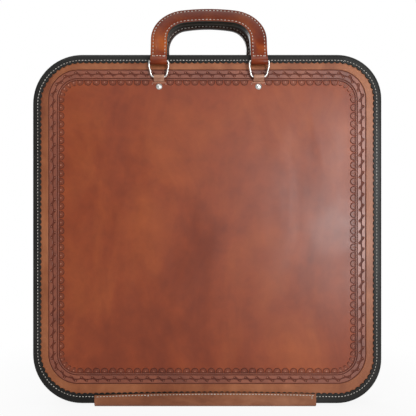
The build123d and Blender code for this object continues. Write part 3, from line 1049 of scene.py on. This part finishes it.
def sweptStrap(section, foot, sign, *names):
    # the section is drawn at the right leg's foot as a flat face, then extruded and spun
    points = [(handle["half"] - inset, sign * height) for inset, height in section]
    inner = handle["half"] - handle["width"]
    points += [(inner + inset, sign * height) for inset, height in reversed(section[:-1])]
    bpy.ops.mesh.primitive_circle_add(vertices=len(points), radius=1, fill_type="NGON")
    strap = bpy.context.object
    for vertex, (x, height) in zip(strap.data.vertices, points):
        vertex.co = (x * mm, foot * mm, height * mm)
    stops = sorted((*handle["legStops"], handle["coreFoot"], handle["coreFull"], cornerUp))
    stops = [stop for stop in stops if stop > foot]
    selectFaces(strap)
    for start, stop in zip([foot] + stops, stops):
        pushOut(0, stop - start, 0)
    for turn, x, up, steps in (
        (cornerTurn, cornerX, cornerUp, handle["cornerSteps"]),
        (pi - 2 * cornerTurn, 0, topCentre, handle["topSteps"]),
        (cornerTurn, -cornerX, cornerUp, handle["cornerSteps"]),
    ):
        bpy.ops.mesh.spin(steps=steps, angle=-turn, center=(x * mm, up * mm, 0), axis=(0, 0, 1))
    for start, stop in reversed(list(zip([foot] + stops, stops))):
        pushOut(0, start - stop, 0)
    setMode("OBJECT")
    closeUp(strap)
    paint(strap, *names)
    if len(names) > 1:
        # the cut edges are burnished dark, the rest keeps its own leather
        for face in strap.data.polygons:
            inset = acrossStrap(face.center.x / mm, face.center.y / mm)
            if inset < handle["edge"] or inset > handle["width"] - handle["edge"]:
                face.material_index = 1
    return strap


def handleMatrix(shell, side):
    lean = radians(handle["lean"][shell])
    right = Vector((-side, 0, 0))
    up = Vector((0, -side * sin(lean), cos(lean)))
    out = Vector((0, side * cos(lean), sin(lean)))
    turn = Matrix((right, up, out)).transposed().to_4x4()
    return shift(handle["barX"], side * handle["barDepth"], handle["barHeight"]) @ turn


def makeLoop(sign):
    # the face leather turned round the ring's bar
    end, neck, under, thick = (loopRound[key] for key in ("end", "neck", "under", "thick"))
    radius, opening, steps = (loopRound[key] for key in ("radius", "opening", "steps"))
    outline = [(end, -under), (neck, -under), (neck, thick)]
    for step in range(steps + 1):
        angle = radians(opening + step * (360 - 2 * opening) / steps)
        outline.append((radius * cos(angle), radius * sin(angle)))
    outline += [(neck, -thick), (end, -thick)]
    half = handle["width"] / 2
    bore = circleLoop(0, 0, loopRound["bore"], 24)
    loop = flatSheet("handleLeather", [outline, bore], -half, half, handle["edge"])
    # drawn with the strap's length along x and its thickness along y
    middle = sign * (handle["half"] - half)
    loop.data.transform(Matrix(((0, 0, 1, middle * mm), (1, 0, 0, 0), (0, 1, 0, 0), (0, 0, 0, 1))))
    paint(loop, "handleLeather", "burnishedEdge")
    for flank in loop.data.polygons:
        if abs(flank.normal.x) > 0.8:
            flank.material_index = 1
    return loop


def hangUp(shell, side, name, slotName, node, *pieces):
    whole = joinAs(shell + name, pieces)
    whole.data.transform(handleMatrix(shell, side))
    smooth(whole, 42)
    mount(whole, shell + "_handle", slotName, shell + "_handle_" + node)


for shell, side in shells:
    face = sweptStrap(crown, handle["foot"], 1, "handleLeather", "burnishedEdge")
    for vertex in face.data.vertices:
        up = vertex.co.y / mm
        if up < handle["foot"] + 0.01:
            vertex.co.z *= handle["footThin"]
        vertex.co.z += coreLift(up) * mm
    hangUp(shell, side, "HandleFaceLeather", "handle_leather", "face", face, makeLoop(-1), makeLoop(1))

    core = sweptStrap(coreSection, handle["coreFoot"], 1, "coreLeather")
    for vertex in core.data.vertices:
        vertex.co.z *= max(coreLift(vertex.co.y / mm), 0.02) / handle["coreHalf"]
    hangUp(shell, side, "HandleCore", "core_leather", "core", core)

    back = sweptStrap(backCrown, handle["coreFoot"], -1, "handleBackLeather", "burnishedEdge")
    for vertex in back.data.vertices:
        vertex.co.z -= coreLift(vertex.co.y / mm) * mm
    hangUp(shell, side, "HandleBackLeather", "handle_leather", "back", back)

    thread = makeStitch("paleThread", *handle["thread"])
    across = handle["width"] - 2 * handle["stitchInset"]
    spots = []
    for layer, first in ((1, handle["faceStart"]), (-1, handle["backStart"])):
        for inset in (handle["stitchInset"], handle["width"] - handle["stitchInset"]):
            total = strapRuns(inset)[3] - 2 * first
            count = round(total / handle["pitch"])
            for number in range(count + 1):
                x, up, normal = strapSpot(first + number * total / count, inset)
                height = handle["seamHeights"][layer] + layer * coreLift(up)
                spot = shift(x, up, height) @ Matrix.Rotation(normal - pi / 2, 4, "Z")
                spots.append(spot if layer > 0 else spot @ turnedOver)
    for leg in (-1, 1):
        for number, height in enumerate(handle["footRow"]):
            x = leg * (handle["half"] - handle["stitchInset"] - across * (number + 0.5) / 4)
            spots.append(shift(x, handle["foot"] + handle["footRowUp"], height))
    place = handleMatrix(shell, side)
    mount(strew(shell + "HandleStitches", thread, [place @ spot for spot in spots]), shell + "_handle")
    discard(thread)

print("handles made")


# hinge strip: two halves that meet under the middle, one on each shell's side

def bisectAll(place, normal, **clear):
    bpy.ops.mesh.select_all(action="SELECT")
    bpy.ops.mesh.bisect(plane_co=[part * mm for part in place], plane_no=normal, **clear)


for shell, side in shells:
    half = nodeCopy("hinge_strip", shell + "HingeStripHalf", 0)
    editAll(half)
    bisectAll((0, 0, 0), (0, 1, 0), use_fill=True, clear_inner=side > 0, clear_outer=side < 0)
    for cut in strip["depthCuts"]:
        bisectAll((0, side * cut, 0), (0, 1, 0))
    for cut in strip["heightCuts"]:
        bisectAll((0, 0, cut), (0, 0, 1))
    setMode("OBJECT")
    softenEdges(half, strip["softness"], 2, 40)
    smooth(half, 40)
    paint(half, "stripLeather")
    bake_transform(half)
    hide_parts("hinge_strip")

    thread = makeStitch("paleThread", *strip["thread"])
    first, last = strip["left"] + strip["stitchEnd"], strip["right"] - strip["stitchEnd"]
    left, crest, right = strip["heights"]
    count = round((last - first) / strip["pitch"])
    places = [(x, z, 0) for x, z in strip["barTacks"]]
    for number in range(count + 1):
        x = first + number * (last - first) / count
        share = (2 * x - strip["left"] - strip["right"]) / (strip["right"] - strip["left"])
        z = crest + (right - left) / 2 * share + ((left + right) / 2 - crest) * share ** 2
        places.append((x, z - strip["stitchDrop"], pi / 2))
    depth = strip["faces"][shell]
    spots = [onFace(side, -side * x, z - caseMiddle, turn, depth) for x, z, turn in places]
    mount(strew(shell + "StripStitches", thread, spots), shell + "_shell")
    discard(thread)

print("hinge strip made")


# camera, floor and lights

view = {"place": (-0.017, -0.591, 0.2189), "lens": 39.84, "shift": (0.0349, 0.0505)}
camera = addObject("camera", bpy.data.cameras.new("camera"))
camera.location = view["place"]
camera.rotation_euler = (pi / 2, 0, 0)
camera.data.lens = view["lens"]
camera.data.shift_x, camera.data.shift_y = view["shift"]
bpy.context.scene.camera = camera

studio = {
    "floorColour": (0.86, 0.86, 0.85), "nearWhite": 0.9, "fadeStart": 0.17, "fadeEnd": 0.45, "ambient": 0.19,
    "inReflections": 0.42, "floorSize": 14.0,
}


def seenShare(tree):
    # all of the white for the camera and through glass, part of it in reflections, none of it as light
    path = addNode(tree, "LightPath", {})
    share = studio["inReflections"]
    seen = mathNode(tree, "MULTIPLY_ADD", path["Is Glossy Ray"], share, path["Is Camera Ray"])
    return mathNode(tree, "ADD", seen, path["Is Transmission Ray"], use_clamp=True)


bpy.ops.mesh.primitive_plane_add(size=studio["floorSize"])
floor = bpy.context.object
floor.name = "floor"
tree, shader = startLook("floorPaper")
fill(tree, shader, {"Base Color": studio["floorColour"], "Roughness": 0.9, "Specular IOR Level": 0.1})
glow = addNode(tree, "Emission", {"Strength": 1.0})["Emission"]
# the shadow shows near the case, and further off the paper is plain white
away = addNode(tree, "VectorMath", {0: objectPlace(tree)}, operation="LENGTH")["Value"]
fade = spread(tree, away, studio["fadeStart"], studio["fadeEnd"], studio["nearWhite"], 1.0)
share = mathNode(tree, "MULTIPLY", seenShare(tree), fade)
blended = addNode(tree, "MixShader", {0: share, 1: shader.outputs["BSDF"], 2: glow})
fill(tree, tree.nodes["Material Output"], {"Surface": blended["Shader"]})
paint(floor, "floorPaper")

world = bpy.data.worlds.new("studioWorld")
world.use_nodes = True
bpy.context.scene.world = world
tree = world.node_tree
level = spread(tree, seenShare(tree), 0, 1, studio["ambient"], 1.0)
fill(tree, tree.nodes["Background"], {"Strength": level, "Color": (1, 1, 1)})

lamps = {
    "windowRight": {"place": (0.72, -1.4, 0.31), "aim": (0.1, 0, 0.24), "size": (0.5, 0.66), "power": 14.5},
    "windowTop": {"place": (0.16, -1.4, 0.74), "aim": (0, 0, 0.24), "size": (0.6, 0.35), "power": 1.5},
    "windowLeft": {"place": (-0.42, -1.05, 1.32), "aim": (0, 0, 0.45), "size": (0.35, 0.35), "power": 3.0},
    "topSoft": {"place": (0.1, -0.1, 1.7), "aim": (0, 0, 0.2), "size": (1.4, 1), "power": 4.0},
    "backSoft": {"place": (-0.7, 1.5, 1), "aim": (0, 0, 0.2), "size": (1.2, 1), "power": 14.0},
}
for name, lamp in lamps.items():
    light = addObject(name, bpy.data.lights.new(name, "AREA"))
    light.data.shape = "RECTANGLE"
    light.data.size, light.data.size_y = lamp["size"]
    light.data.energy = lamp["power"]
    light.location = lamp["place"]
    light.rotation_euler = (Vector(lamp["aim"]) - Vector(lamp["place"])).to_track_quat("-Z", "Y").to_euler()

bpy.context.scene.view_settings.view_transform = "Standard"
pick()
